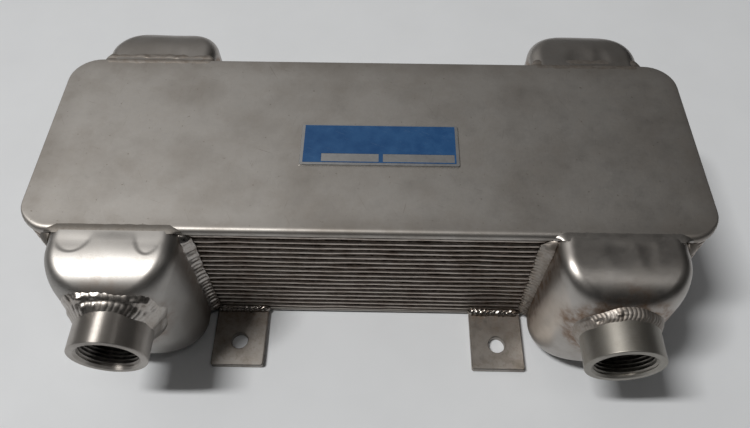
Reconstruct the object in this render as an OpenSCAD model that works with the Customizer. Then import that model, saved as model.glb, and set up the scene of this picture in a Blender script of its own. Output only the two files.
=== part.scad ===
/* [Core] */
// Length of the core and its cover plates, left to right
core_w = 306; // [250:1:420]
// Depth of the core, front to back
core_d = 104; // [90:1:180]
// Thickness of the top and bottom cover plates
cover_t = 3.2; // [2:0.1:6]
// Radius of the cover plates' corners
cover_corner_r = 14.5; // [6:0.5:24]
// Radius of the soft outer edge round each cover plate
cover_edge_r = 1.2; // [0.4:0.1:1.8]
// Number of plate cells in the stack
cell_count = 17; // [9:1:25]
// Height of one plate cell
cell_pitch = 4.2; // [3:0.1:6]
// Height of the welded seam that stands out round each cell
seam_t = 2.1; // [1:0.1:2.8]
// How far the seams stay inside the cover plates' outline
seam_inset = 0.5; // [0:0.1:0.9]
// How deep the groove between two seams runs in
groove_depth = 3; // [1:0.1:5]

/* [Headers] */
// Distance from the core's end to the side of the header next to it
header_inset = 14.5; // [14.5:0.5:26]
// Width of a header along the core
header_w = 57.5; // [52:0.5:64]
// How far a header stands out from the core's face
header_depth = 33.5; // [30:0.5:45]
// Radius of the header's upright front corners, seen from above
header_corner_r = 26; // [18:0.5:27]
// Radius of the header's top and bottom front bends, seen from the side
header_bend_r = 22.5; // [14:0.5:24]
// Radius of the edges where a header's top and bottom meet its sides
header_edge_r = 5; // [4:0.5:9]
// Thickness of the header's sheet
header_wall = 2.5; // [1.5:0.1:3.5]

/* [Couplings] */
// Outside diameter of a pipe coupling
coupling_od = 34; // [30:0.1:36]
// Bore of a coupling inside its thread
coupling_bore = 25.4; // [18:0.1:27]
// Height of the front couplings' axis above the bottom face; the back ones hang as far below the top face
coupling_z = 50; // [40:0.5:52]
// How far a coupling stands out past its header's front
coupling_reach = 13; // [8:0.5:25]
// How far a coupling stands out on the inside of its header's wall
coupling_stub = 1.2; // [0.5:0.1:4]
// Width of the bevel inside a coupling's mouth
mouth_bevel = 1.4; // [0.4:0.1:2.5]
// Width of the bevel round the outside of a coupling's rim
rim_bevel = 0.5; // [0.2:0.1:1]
// Gap all round a coupling in its header's hole
coupling_gap = 0.15; // [0.1:0.05:0.3]

/* [Feet] */
// Gap along the core between a foot and the header beside it
foot_gap = 3; // [0.5:0.5:20]
// Width of a foot along the core
foot_w = 26; // [20:0.5:30]
// How far a foot stands out from the core's face
foot_depth = 31; // [24:0.5:40]
// Thickness of a foot
foot_t = 3.2; // [2:0.1:3.2]
// Diameter of the bolt hole in a foot
foot_hole_d = 8.3; // [5:0.1:12]
// Distance of the bolt hole from the core's face
foot_hole_y = 18; // [14:0.5:18]
// Radius of a foot's outer corners
foot_corner_r = 1.2; // [0.4:0.1:4]

/* [Nameplate] */
// Length of the blank nameplate
plate_w = 74; // [50:0.5:90]
// Depth of the blank nameplate
plate_d = 24.5; // [14:0.5:40]
// Thickness of the nameplate
plate_t = 0.8; // [0.4:0.1:2]
// Offset of the nameplate to the right of the centre
plate_x = 4.5; // [-30:0.5:30]
// Offset of the nameplate behind the centre
plate_y = -3.1; // [-15:0.1:15]
// Radius of the nameplate's corners
plate_corner_r = 1; // [0.3:0.1:4]

/* [Hidden] */
$fn = 64;
// Overshoot of a cut past the face that it opens
cut = 1;
core_h = 2 * cover_t + cell_count * cell_pitch;
core_face = core_d / 2;
header_x = core_w / 2 - header_inset - header_w / 2;
foot_x = header_x - header_w / 2 - foot_gap - foot_w / 2;
// A coupling meets the curved front of its header in a saddle, and reaches through its lowest point
saddle_x = max(0, coupling_od / 2 - (header_w / 2 - header_corner_r));
saddle_depth = header_corner_r - sqrt(pow(header_corner_r, 2) - pow(saddle_x, 2));
coupling_root = saddle_depth + header_wall + coupling_stub;
steel = [0.56, 0.54, 0.51];
dark_steel = [0.40, 0.37, 0.34];
plate_blue = [0.16, 0.36, 0.62];

function port_z(sy) = sy < 0 ? coupling_z : core_h - coupling_z;

function cell_name(i) = str("cell_", i < 10 ? "0" : "", i);

// Rectangle with round corners, centred
module round_rect(w, d, r) {
    square([w - 2 * r, d], center = true);
    square([w, d - 2 * r], center = true);
    for (sx = [-1, 1], sy = [-1, 1])
        translate([sx * (w / 2 - r), sy * (d / 2 - r)])
            circle(r);
}

// Outline of width w that stands d out from the X axis, with its two outer corners round;
// back draws it on behind the axis
module bulge(w, d, r, back = 0) {
    translate([-w / 2, -back])
        square([w, d - r + back]);
    translate([r - w / 2, -back])
        square([w - 2 * r, d + back]);
    for (sx = [-1, 1])
        translate([sx * (w / 2 - r), d - r])
            circle(r);
}

// Places a piece that is drawn facing +Y on the core's front or back face
module on_face(x, sy) {
    translate([x, sy * core_face, 0])
        rotate([0, 0, sy > 0 ? 0 : 180])
            children();
}

// Flat plate with round corners and a soft edge of radius e round its upper side
module soft_plate(w, d, t, r, e) {
    rotate([90, 0, 90])
        linear_extrude(w - 2 * r, center = true)
            bulge(d, t, e);
    rotate([90, 0, 0])
        linear_extrude(d - 2 * r, center = true)
            bulge(w, t, e);
    for (sx = [-1, 1], sy = [-1, 1])
        translate([sx * (w / 2 - r), sy * (d / 2 - r), 0])
            rotate_extrude()
                intersection() {
                    bulge(2 * r, t, e);
                    square([r, t]);
                }
}

// Cover plate, drawn as the top one
module cover() {
    color(steel)
        soft_plate(core_w, core_d, cover_t, cover_corner_r, cover_edge_r);
}

module top_cover() {
    translate([0, 0, core_h - cover_t])
        cover();
}

module bottom_cover() {
    translate([0, 0, cover_t])
        mirror([0, 0, 1])
            cover();
}

// One plate cell: a channel body with its welded seam standing out all round
module cell(i) {
    seam_w = core_w - 2 * seam_inset;
    seam_d = core_d - 2 * seam_inset;
    seam_r = cover_corner_r - seam_inset;
    color(dark_steel)
        translate([0, 0, cover_t + (i - 1) * cell_pitch]) {
            linear_extrude(cell_pitch)
                round_rect(seam_w - 2 * groove_depth, seam_d - 2 * groove_depth, seam_r - groove_depth);
            translate([0, 0, (cell_pitch - seam_t) / 2])
                linear_extrude(seam_t)
                    round_rect(seam_w, seam_d, seam_r);
        }
}

// Solid form of a header where its plan, side and front outlines meet, drawn in by inset
module header_form(inset, back) {
    w = header_w - 2 * inset;
    d = header_depth - inset;
    h = core_h - 2 * inset;
    translate([0, 0, inset])
        intersection() {
            linear_extrude(h)
                bulge(w, d, header_corner_r - inset, back);
            translate([-w / 2, 0, h / 2])
                rotate([0, 90, 0])
                    linear_extrude(w)
                        bulge(h, d, header_bend_r - inset, back);
            translate([0, d, h / 2])
                rotate([90, 0, 0])
                    linear_extrude(d + back)
                        round_rect(w, h, header_edge_r - inset);
        }
}

// Pressed sheet header: open towards the core, with a round hole for its coupling
module header(sx, sy) {
    color(steel)
        on_face(sx * header_x, sy)
            difference() {
                header_form(0, 0);
                header_form(header_wall, cut);
                translate([0, 0, port_z(sy)])
                    rotate([-90, 0, 0])
                        cylinder(h = header_depth + cut, d = coupling_od + 2 * coupling_gap);
            }
}

// Pipe coupling: a turned ring with bevels at its mouth
module coupling(sx, sy) {
    length = coupling_root + coupling_reach;
    outer_r = coupling_od / 2;
    bore_r = coupling_bore / 2;
    color(steel)
        on_face(sx * header_x, sy)
            translate([0, header_depth - coupling_root, port_z(sy)])
                rotate([-90, 0, 0])
                    rotate_extrude()
                        polygon([
                            [bore_r, 0],
                            [outer_r, 0],
                            [outer_r, length - rim_bevel],
                            [outer_r - rim_bevel, length],
                            [bore_r + mouth_bevel, length],
                            [bore_r, length - mouth_bevel]
                        ]);
}

// Foot with one bolt hole, flush with the bottom face
module foot(sx, sy) {
    color(steel)
        on_face(sx * foot_x, sy)
            linear_extrude(foot_t)
                difference() {
                    bulge(foot_w, foot_depth, foot_corner_r);
                    translate([0, foot_hole_y])
                        circle(d = foot_hole_d);
                }
}

// Blank nameplate that lies on the top cover
module nameplate() {
    color(plate_blue)
        translate([plate_x, plate_y, core_h])
            linear_extrude(plate_t)
                round_rect(plate_w, plate_d, plate_corner_r);
}

bottom_cover();
top_cover();
for (i = [1 : cell_count])
    cell(i);
for (sx = [-1, 1], sy = [-1, 1]) {
    corner = str(sy < 0 ? "front" : "back", "_", sx < 0 ? "left" : "right");
    header(sx, sy);
    coupling(sx, sy);
    foot(sx, sy);
}
nameplate();
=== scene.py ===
"""Looks of a welded plate heat exchanger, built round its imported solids.

Each sub-assembly is a class: cover plates, plate cells, headers, couplings, weld beads, feet,
nameplate and stage. Lengths are metres in the part's own frame: +X runs along the core, -Y points
to the front and +Z points up.
"""

import logging
import math
import zlib
from collections.abc import Sequence
from dataclasses import dataclass, field, replace
from enum import Enum
from typing import Protocol

import bmesh
import bpy
import numpy as np
from mathutils import Matrix, Vector


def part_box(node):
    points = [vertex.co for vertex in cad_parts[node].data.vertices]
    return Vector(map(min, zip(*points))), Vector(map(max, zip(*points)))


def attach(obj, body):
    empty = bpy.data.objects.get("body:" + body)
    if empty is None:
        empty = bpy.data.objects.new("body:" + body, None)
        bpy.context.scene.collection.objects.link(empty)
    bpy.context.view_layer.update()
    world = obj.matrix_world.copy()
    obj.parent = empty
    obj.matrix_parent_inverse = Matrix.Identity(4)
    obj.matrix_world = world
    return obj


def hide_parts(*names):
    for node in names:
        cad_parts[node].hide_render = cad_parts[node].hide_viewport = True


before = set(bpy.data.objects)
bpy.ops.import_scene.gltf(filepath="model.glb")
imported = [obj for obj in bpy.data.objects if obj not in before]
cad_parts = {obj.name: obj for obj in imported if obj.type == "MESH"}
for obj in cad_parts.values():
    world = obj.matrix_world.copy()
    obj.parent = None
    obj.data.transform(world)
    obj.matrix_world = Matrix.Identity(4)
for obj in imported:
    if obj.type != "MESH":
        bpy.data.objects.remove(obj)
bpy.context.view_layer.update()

MM = 0.001
BODY = "root"
# Halvings after which the end of a ray counts as found
HALF_STEPS = 44
# Least number of steps round a corner of an outline, and along a line that is spaced again
ARC_STEPS, LINE_STEPS = 6, 8
log = logging.getLogger("heat_exchanger")

Points = np.ndarray
Colour = tuple[float, float, float]
Mesh = bpy.types.Mesh
Socket = bpy.types.NodeSocket


class Corner(Enum):
    """Corner of the core where a header stands, with its coupling and its foot."""

    FRONT_LEFT = "front_left"
    FRONT_RIGHT = "front_right"
    BACK_LEFT = "back_left"
    BACK_RIGHT = "back_right"

    @property
    def side(self) -> int:
        """Give -1 at the left end of the core and +1 at the right end."""
        return -1 if self.value.endswith("left") else 1

    @property
    def face(self) -> int:
        """Give -1 at the front face of the core and +1 at the back face."""
        return -1 if self.value.startswith("front") else 1


class Seam(Enum):
    """Place of a weld bead on a header."""

    TOP = "top"
    INNER = "inner"
    OUTER = "outer"
    SADDLE = "saddle"


class SubAssembly(Protocol):
    """What every sub-assembly can do."""

    def build(self) -> Mesh:
        """Make its mesh."""

    def dress(self, mesh: Mesh) -> bpy.types.Object:
        """Place its mesh with its finish."""


# Helpers for points and meshes


def seeded(name: str) -> np.random.Generator:
    """Make the random generator that belongs to one name."""
    return np.random.default_rng(zlib.crc32(name.encode()))


def unit(vectors: Points) -> Points:
    """Scale vectors to length one."""
    return vectors / np.linalg.norm(vectors, axis=-1, keepdims=True)


def smooth_step(values: Points, low: float, high: float) -> Points:
    """Ease from 0 at low to 1 at high.

    Args:
        values: Numbers to ease.
        low: Where the ease starts.
        high: Where it ends.

    Returns:
        Eased numbers from 0 to 1.
    """
    share = np.clip((values - low) / (high - low), 0, 1)
    return share * share * (3 - 2 * share)


def wander(rng: np.random.Generator, share: Points, waves: int) -> Points:
    """Draw a slow random drift along a closed path.

    Args:
        rng: Source of the random draws.
        share: Places along the path, from 0 to 1.
        waves: Number of waves in the shortest swing.

    Returns:
        Drift of about unit size, the same at both ends.
    """
    total = np.zeros_like(share)
    for count in range(1, waves + 1):
        total += rng.normal() * np.sin(2 * math.pi * (count * share + rng.random()))
    return total / math.sqrt(waves)


def rounded_outline(width: float, depth: float, radius: float, step: float) -> tuple[Points, Points]:
    """Walk round a rectangle with round corners.

    Args:
        width: Size along the first axis.
        depth: Size along the second axis.
        radius: Radius of the corners.
        step: Distance between points.

    Returns:
        Points and outward normals, both of shape (count, 2).
    """
    reach = np.array([width / 2 - radius, depth / 2 - radius])
    signs = np.array([(1, 1), (-1, 1), (-1, -1), (1, -1)])
    arc_steps = max(ARC_STEPS, round(radius * math.pi / 2 / step))
    points, normals = [], []
    for quarter, sign in enumerate(signs):
        turn = (quarter + np.linspace(0, 1, arc_steps + 1)) * math.pi / 2
        facing = np.stack([np.cos(turn), np.sin(turn)], axis=1)
        arc = sign * reach + radius * facing
        onward = np.roll(signs, -1, axis=0)[quarter] * reach + radius * facing[-1]
        run_steps = max(2, round(float(np.linalg.norm(onward - arc[-1])) / step))
        share = np.arange(1, run_steps)[:, None] / run_steps
        points += [arc, arc[-1] + share * (onward - arc[-1])]
        normals += [facing, np.repeat(facing[-1:], run_steps - 1, axis=0)]
    return np.concatenate(points), np.concatenate(normals)


def resample(lines: Points, step: float, closed: bool) -> tuple[Points, Points]:
    """Space the points of several lines evenly, by the distance along the first one.

    Args:
        lines: Points of shape (lines, count, 3).
        step: Distance wanted between the new points.
        closed: True where the lines run back to their first points.

    Returns:
        New points of all lines, and their distances along the first one.
    """
    if closed:
        lines = np.concatenate([lines, lines[:, :1]], axis=1)
    along = np.concatenate([[0], np.cumsum(np.linalg.norm(np.diff(lines[0], axis=0), axis=1))])
    count = max(LINE_STEPS, round(along[-1] / step))
    places = np.linspace(0, along[-1], count + 1)[: count if closed else None]
    spaced = [[np.interp(places, along, line[:, axis]) for axis in range(3)] for line in lines]
    return np.moveaxis(np.array(spaced), 1, 2), places


def loft(name: str, rows: Points, closed: bool, sharp: float = 40.0) -> Mesh:
    """Skin rows of points that each run round a closed loop.

    Args:
        name: Name of the mesh.
        rows: Points of shape (rows, columns, 3).
        closed: True joins the last row to the first, False caps both ends.
        sharp: Angle in degrees above which an edge stays crisp.

    Returns:
        Closed mesh whose faces point outwards.
    """
    index = np.arange(rows.shape[0] * rows.shape[1]).reshape(rows.shape[:2])
    below = index if closed else index[:-1]
    above = np.roll(index, -1, axis=0) if closed else index[1:]
    quads = np.stack([below, np.roll(below, -1, axis=1), np.roll(above, -1, axis=1), above], axis=-1)
    faces = quads.reshape(-1, 4).tolist()
    if not closed:
        faces += [index[0][::-1].tolist(), index[-1].tolist()]
    mesh = bpy.data.meshes.new(name)
    mesh.from_pydata(rows.reshape(-1, 3).tolist(), [], faces)
    return outward(mesh, sharp)


def outward(mesh: Mesh, sharp: float) -> Mesh:
    """Turn the faces of a closed mesh outwards and shade them.

    Args:
        mesh: Mesh to change.
        sharp: Angle in degrees above which an edge stays crisp.

    Returns:
        The same mesh.
    """
    work = bmesh.new()
    work.from_mesh(mesh)
    bmesh.ops.recalc_face_normals(work, faces=work.faces)
    work.to_mesh(mesh)
    work.free()
    mesh.shade_smooth()
    mesh.set_sharp_from_angle(angle=math.radians(sharp))
    return mesh


def mark(mesh: Mesh, name: str, shares: Points) -> None:
    """Store one number per point for a finish to read.

    Args:
        mesh: Mesh that gets the numbers.
        name: Name of the mark.
        shares: Numbers from 0 to 1, in the order of the mesh's points.
    """
    attribute = mesh.attributes.new(name, "FLOAT", "POINT")
    attribute.data.foreach_set("value", np.clip(shares, 0, 1).astype(np.float32).ravel())


# Finishes


# Strength of each finer layer of a random pattern beside the layer before it
FINE_SHARE = 0.6


class Wiring:
    """Short forms for adding shader nodes to one material or world."""

    def __init__(self, tree: bpy.types.NodeTree) -> None:
        """Keep the tree and clear it."""
        self.tree = tree
        tree.nodes.clear()

    def add(self, kind: str, inputs: dict[str | int, object], **settings: object) -> bpy.types.Node:
        """Add a node.

        Args:
            kind: Blender's name for the node's type.
            inputs: Values or sockets for its inputs, by name or number.
            settings: Its other settings.

        Returns:
            The new node.
        """
        node = self.tree.nodes.new(kind)
        for key, value in settings.items():
            setattr(node, key, value)
        for key, value in inputs.items():
            if isinstance(value, Socket):
                self.tree.links.new(value, node.inputs[key])
            else:
                node.inputs[key].default_value = value
        return node

    def place(self) -> Socket:
        """Give the point's place in the part's frame."""
        return self.add("ShaderNodeTexCoord", {}).outputs["Object"]

    def noise(self, place: Socket, size: float, detail: float = 3.0) -> Socket:
        """Make soft random patches.

        Args:
            place: Where the pattern is read.
            size: Rough size of one patch.
            detail: Number of finer layers.

        Returns:
            Value from 0 to 1, most often near 0.5.
        """
        inputs = {"Vector": place, "Scale": 1 / size, "Detail": detail, "Roughness": FINE_SHARE}
        return self.add("ShaderNodeTexNoise", inputs).outputs[0]

    def strokes(self, place: Socket, length: float, width: float, turn: float) -> Socket:
        """Make fine straight strokes, as a sander or brush leaves them.

        Args:
            place: Where the pattern is read.
            length: Rough length of a stroke.
            width: Rough width of a stroke.
            turn: Angle of the strokes from the X axis, seen from above, in degrees.

        Returns:
            Value from 0 to 1, most often near 0.5.
        """
        turned = self.add("ShaderNodeMapping", {"Vector": place, "Rotation": (0, 0, math.radians(turn))})
        scale = {"Vector": turned.outputs[0], "Scale": (1 / length, 1 / width, 1 / width)}
        stretched = self.add("ShaderNodeMapping", scale)
        return self.noise(stretched.outputs[0], 1.0, detail=2.0)

    def span(self, value: Socket, low: float, high: float, start: float = 0.0, end: float = 1.0) -> Socket:
        """Map a value from one range to another, held at its ends.

        Args:
            value: Value to map.
            low: Start of the range read.
            high: End of the range read.
            start: What low becomes.
            end: What high becomes.

        Returns:
            The mapped value.
        """
        inputs = {"Value": value, "From Min": low, "From Max": high, "To Min": start, "To Max": end}
        return self.add("ShaderNodeMapRange", inputs).outputs[0]

    def math(self, operation: str, first: object, second: object = 0.0) -> Socket:
        """Combine two values by one operation of arithmetic."""
        return self.add("ShaderNodeMath", {0: first, 1: second}, operation=operation).outputs[0]

    def mix(self, share: object, base: object, over: object, mode: str = "MIX") -> Socket:
        """Lay one colour over another.

        Args:
            share: How much of the upper colour shows.
            base: Lower colour, as a socket or four numbers.
            over: Upper colour, as a socket or four numbers.
            mode: Blender's name for the way to mix.

        Returns:
            The mixed colour.
        """
        # The node's inputs 6 and 7 are its colours, and its output 2 is the mixed one
        inputs = {0: share, 6: base, 7: over}
        return self.add("ShaderNodeMix", inputs, data_type="RGBA", blend_type=mode).outputs[2]

    def mark(self, name: str) -> Socket:
        """Read a number that a mesh stores at its points."""
        return self.add("ShaderNodeAttribute", {}, attribute_name=name).outputs["Fac"]


def opaque(colour: Colour) -> tuple[float, float, float, float]:
    """Add full opacity to a colour."""
    return (*colour, 1.0)


# Levels of a random pattern between which each mark comes in
PATCHES = (0.42, 0.72)
CLOUDS = (0.50, 0.78)
DULL_SPOTS = (0.30, 0.72)
GRAIN = (0.25, 0.75)
STROKES = (0.55, 0.80)
SCRATCHES = (0.71, 0.78)
PITS = (0.74, 0.80)
TINTED = (0.36, 0.62)
FADED = (0.35, 0.75)
SOFT_CLOUDS = (0.3, 0.7)
RUBS = (0.66, 0.80)
WORN_STEEL: Colour = (0.60, 0.575, 0.545)
QUARTER_TURN = 0.25


@dataclass(frozen=True)
class Finish:
    """Surface finish with its own material.

    Attributes:
        name: Name of the material.
    """

    name: str

    def material(self) -> bpy.types.Material:
        """Give the material, made on first use.

        Returns:
            Material that all pieces with this finish share.
        """
        made = bpy.data.materials.get(self.name)
        if made is None:
            made = bpy.data.materials.new(self.name)
            made.use_nodes = True
            self.wire(Wiring(made.node_tree))
        return made

    def wire(self, kit: Wiring) -> None:
        """Lay out the nodes of the material."""
        raise NotImplementedError


@dataclass(frozen=True)
class Tint:
    """Colour that shows where a mesh carries a mark.

    Attributes:
        mark: Name of the mark.
        tone: Colour of the tint.
        strength: How much of it shows at full mark.
        rough: Roughness that it adds.
        even: How much of it shows between its clouds.
    """

    mark: str
    tone: Colour
    strength: float
    rough: float
    even: float = 0.55


@dataclass(frozen=True)
class MetalFinish(Finish):
    """Bare stainless steel with the marks that the shop left on it.

    Attributes:
        tone: Colour of the bare metal.
        stain: Colour of its stains.
        stain_share: How much of the stains shows.
        patch: Size of a stain.
        clouds: Number of small clouds across one stain.
        cloud_share: Strength of the clouds beside the stains.
        rough_low: Roughness of the brightest spots.
        rough_high: Roughness of the dullest spots.
        rough_grain: Roughness that the grain adds or takes.
        grain: Size of the fine grain.
        relief: Depth of the grain and the strokes.
        stroke_share: How much of the sanding strokes shows.
        stroke_turn: Angle of the strokes from the X axis, in degrees.
        stroke_size: Length and width of a stroke.
        scratch_share: How much of the scratches and pits shows.
        scratches: Angle and length of each set of scratches.
        scratch_width: Width of a scratch.
        pit: Size of a pit.
        turned: How strongly lathe marks stretch the highlights.
        film: Share of dull film over the metal.
        tints: Colours that show where a mesh carries marks.
    """

    tone: Colour = (0.46, 0.435, 0.41)
    stain: Colour = (0.28, 0.245, 0.21)
    stain_share: float = 0.35
    patch: float = 22 * MM
    clouds: float = 4.5
    cloud_share: float = 0.7
    rough_low: float = 0.30
    rough_high: float = 0.44
    rough_grain: float = 0.035
    grain: float = 0.5 * MM
    relief: float = 0.012 * MM
    stroke_share: float = 0.25
    stroke_turn: float = 8.0
    stroke_size: tuple[float, float] = (30 * MM, 0.28 * MM)
    scratch_share: float = 0.0
    scratches: tuple[tuple[float, float], ...] = ((62.0, 26 * MM), (-78.0, 14 * MM), (20.0, 18 * MM))
    scratch_width: float = 0.3 * MM
    pit: float = 1.6 * MM
    turned: float = 0.0
    film: float = 0.0
    tints: tuple[Tint, ...] = ()

    def wire(self, kit: Wiring) -> None:
        """Lay out the nodes: stains, strokes and grain over the bare tone, then the tints.

        Args:
            kit: Wiring of the material.
        """
        place = kit.place()
        patches = kit.noise(place, self.patch, detail=5.0)
        clouds = kit.noise(place, self.patch / self.clouds, detail=4.0)
        grain = kit.noise(place, self.grain, detail=2.0)
        strokes = kit.strokes(place, *self.stroke_size, self.stroke_turn)
        stain = opaque(self.stain)
        colour = kit.mix(kit.span(patches, *PATCHES, 0.0, self.stain_share), opaque(self.tone), stain)
        cloudy = kit.span(clouds, *CLOUDS, 0.0, self.stain_share * self.cloud_share)
        colour = kit.mix(cloudy, colour, stain)
        worn = kit.span(strokes, *STROKES, 0.0, self.stroke_share)
        colour = kit.mix(worn, colour, opaque(WORN_STEEL))
        if self.scratch_share:
            colour = self._scratched(kit, place, colour)
        rough = kit.span(clouds, *DULL_SPOTS, self.rough_low, self.rough_high)
        rough = kit.math("ADD", rough, kit.span(grain, *GRAIN, -self.rough_grain, self.rough_grain))
        for tint in self.tints:
            shown = kit.math("MULTIPLY", kit.mark(tint.mark), kit.span(clouds, *TINTED, tint.even, 1.0))
            shown = kit.math("MULTIPLY", shown, tint.strength)
            colour = kit.mix(shown, colour, opaque(tint.tone))
            rough = kit.math("ADD", rough, kit.math("MULTIPLY", shown, tint.rough))
        height = kit.math("ADD", grain, kit.math("MULTIPLY", strokes, self.stroke_share * 2))
        bump = kit.add("ShaderNodeBump", {"Strength": 1.0, "Distance": self.relief, "Height": height})
        inputs = {"Base Color": colour, "Metallic": 1 - self.film, "Roughness": rough}
        inputs["Normal"] = bump.outputs[0]
        if self.turned:
            lathe = kit.add("ShaderNodeTangent", {}, direction_type="RADIAL", axis="Y")
            inputs |= {"Tangent": lathe.outputs[0], "Anisotropic": self.turned}
            inputs["Anisotropic Rotation"] = QUARTER_TURN
        steel = kit.add("ShaderNodeBsdfPrincipled", inputs)
        kit.add("ShaderNodeOutputMaterial", {"Surface": steel.outputs[0]})

    def _scratched(self, kit: Wiring, place: Socket, colour: Socket) -> Socket:
        """Lay scratches and pits over a colour.

        Args:
            kit: Wiring of the material.
            place: Where the marks are read.
            colour: Colour below the marks.

        Returns:
            Colour with the marks on it.
        """
        cuts = [kit.strokes(place, length, self.scratch_width, turn) for turn, length in self.scratches]
        marks = [(cut, SCRATCHES) for cut in cuts]
        marks.append((kit.noise(place, self.pit, detail=1.0), PITS))
        for pattern, levels in marks:
            colour = kit.mix(kit.span(pattern, *levels, 0.0, self.scratch_share), colour, opaque(self.stain))
        return colour


@dataclass(frozen=True)
class PaintFinish(Finish):
    """Printed colour on the nameplate, a little rubbed.

    Attributes:
        tone: Colour of the print.
        faded: Colour where it has faded.
        cloud: Size of a faded cloud.
        rough: Middle of its roughness.
        rough_swing: How far the roughness goes up and down.
        rub_tone: Colour of a rub.
        rub_share: How much of the rubs shows.
        rub_size: Length and width of a rub.
        rub_turn: Angle of the rubs from the X axis, in degrees.
        relief: Depth of the rubs.
    """

    tone: Colour
    faded: Colour
    cloud: float = 7 * MM
    rough: float = 0.42
    rough_swing: float = 0.08
    rub_tone: Colour = (0.40, 0.47, 0.55)
    rub_share: float = 0.5
    rub_size: tuple[float, float] = (9 * MM, 0.12 * MM)
    rub_turn: float = 25.0
    relief: float = 0.01 * MM

    def wire(self, kit: Wiring) -> None:
        """Lay out the nodes: faded clouds and fine rubs over the colour.

        Args:
            kit: Wiring of the material.
        """
        place = kit.place()
        clouds = kit.noise(place, self.cloud, detail=5.0)
        rubs = kit.strokes(place, *self.rub_size, self.rub_turn)
        colour = kit.mix(kit.span(clouds, *FADED), opaque(self.tone), opaque(self.faded))
        colour = kit.mix(kit.span(rubs, *RUBS, 0.0, self.rub_share), colour, opaque(self.rub_tone))
        swing = self.rough_swing
        rough = kit.span(clouds, *SOFT_CLOUDS, self.rough - swing, self.rough + swing)
        bump = kit.add("ShaderNodeBump", {"Strength": 1.0, "Distance": self.relief, "Height": rubs})
        inputs = {"Base Color": colour, "Roughness": rough, "Normal": bump.outputs[0]}
        paint = kit.add("ShaderNodeBsdfPrincipled", inputs)
        kit.add("ShaderNodeOutputMaterial", {"Surface": paint.outputs[0]})


@dataclass(frozen=True)
class FloorFinish(Finish):
    """Pale matt table top, with faint clouds.

    Attributes:
        tone: Colour of the table top.
        shade: Brightness of the clouds beside it.
        cloud: Size of a cloud.
        rough: Its roughness.
    """

    tone: Colour
    shade: float = 0.96
    cloud: float = 60 * MM
    rough: float = 0.6

    def wire(self, kit: Wiring) -> None:
        """Lay out the nodes: clouds of a slightly darker tone.

        Args:
            kit: Wiring of the material.
        """
        clouds = kit.noise(kit.place(), self.cloud, detail=3.0)
        darker = tuple(self.shade * part for part in self.tone)
        colour = kit.mix(kit.span(clouds, *SOFT_CLOUDS), opaque(self.tone), opaque(darker))
        paper = kit.add("ShaderNodeBsdfPrincipled", {"Base Color": colour, "Roughness": self.rough})
        kit.add("ShaderNodeOutputMaterial", {"Surface": paper.outputs[0]})


HEAT_BROWN: Colour = (0.19, 0.108, 0.058)
# Near-black brown painted into the stack's grooves as painted shade between the seams
GROOVE_SHADE: Colour = (0.055, 0.036, 0.028)
HEAT = Tint("scorch", HEAT_BROWN, 0.85, 0.06, even=0.15)
# Near-black painted shade inside the couplings' bores
BORE_SHADE = Tint("inside", (0.03, 0.027, 0.024), 0.95, 0.2)

COVER_STEEL = MetalFinish(
    "cover_steel",
    tone=(0.54, 0.515, 0.485),
    stain_share=0.5,
    patch=40 * MM,
    rough_low=0.44,
    rough_high=0.50,
    stroke_share=0.12,
    stroke_turn=82.0,
    cloud_share=0.5,
    scratch_share=0.75,
    tints=(Tint("rim", (0.17, 0.14, 0.115), 0.28, 0.04),),
)
STACK_STEEL = MetalFinish(
    "stack_steel",
    tone=(0.52, 0.465, 0.42),
    stain=(0.20, 0.14, 0.105),
    stain_share=0.6,
    patch=13 * MM,
    stroke_share=0.1,
    # The groove tint is painted shade in the recesses between the seams
    tints=(Tint("groove", GROOVE_SHADE, 1.0, 0.25),),
)
POLISHED_STEEL = MetalFinish(
    "polished_steel",
    tone=(0.405, 0.389, 0.371),
    stain_share=0.2,
    rough_low=0.41,
    rough_high=0.48,
    relief=0.004 * MM,
    stroke_share=0.06,
    tints=(HEAT,),
)
SATIN_STEEL = MetalFinish("satin_steel", rough_low=0.34, rough_high=0.41, stroke_share=0.10, tints=(HEAT,))
TURNED_STEEL = MetalFinish(
    "turned_steel",
    tone=(0.44, 0.41, 0.38),
    stain_share=0.25,
    patch=12 * MM,
    rough_low=0.40,
    rough_high=0.46,
    stroke_share=0.1,
    stroke_turn=0.0,
    turned=0.95,
    film=0.14,
    tints=(BORE_SHADE,),
)
DULL_TURNED_STEEL = MetalFinish(
    "dull_turned_steel",
    tone=(0.345, 0.327, 0.295),
    stain=(0.24, 0.215, 0.18),
    stain_share=0.35,
    patch=10 * MM,
    rough_low=0.42,
    rough_high=0.50,
    stroke_share=0.2,
    stroke_turn=0.0,
    turned=0.2,
    film=0.05,
    tints=(BORE_SHADE,),
)
WELD_STEEL = MetalFinish(
    "weld_steel",
    tone=(0.46, 0.435, 0.41),
    stain=(0.23, 0.185, 0.145),
    stain_share=0.35,
    patch=7 * MM,
    rough_low=0.22,
    rough_high=0.36,
    stroke_share=0.0,
    tints=(Tint("valley", (0.16, 0.115, 0.085), 0.75, 0.15),),
)
FOOT_WELD_STEEL = MetalFinish(
    "foot_weld_steel",
    tone=(0.42, 0.39, 0.36),
    stain=(0.17, 0.125, 0.09),
    stain_share=0.7,
    patch=6 * MM,
    rough_low=0.19,
    rough_high=0.32,
    stroke_share=0.0,
    tints=(Tint("valley", (0.18, 0.14, 0.11), 0.5, 0.15),),
)
FUNNEL_WELD_STEEL = MetalFinish(
    "funnel_weld_steel",
    tone=(0.50, 0.47, 0.44),
    stain=(0.24, 0.185, 0.14),
    stain_share=0.4,
    patch=5 * MM,
    rough_low=0.29,
    rough_high=0.41,
    stroke_share=0.0,
    tints=(Tint("valley", (0.18, 0.14, 0.11), 0.15, 0.1),),
)
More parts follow.
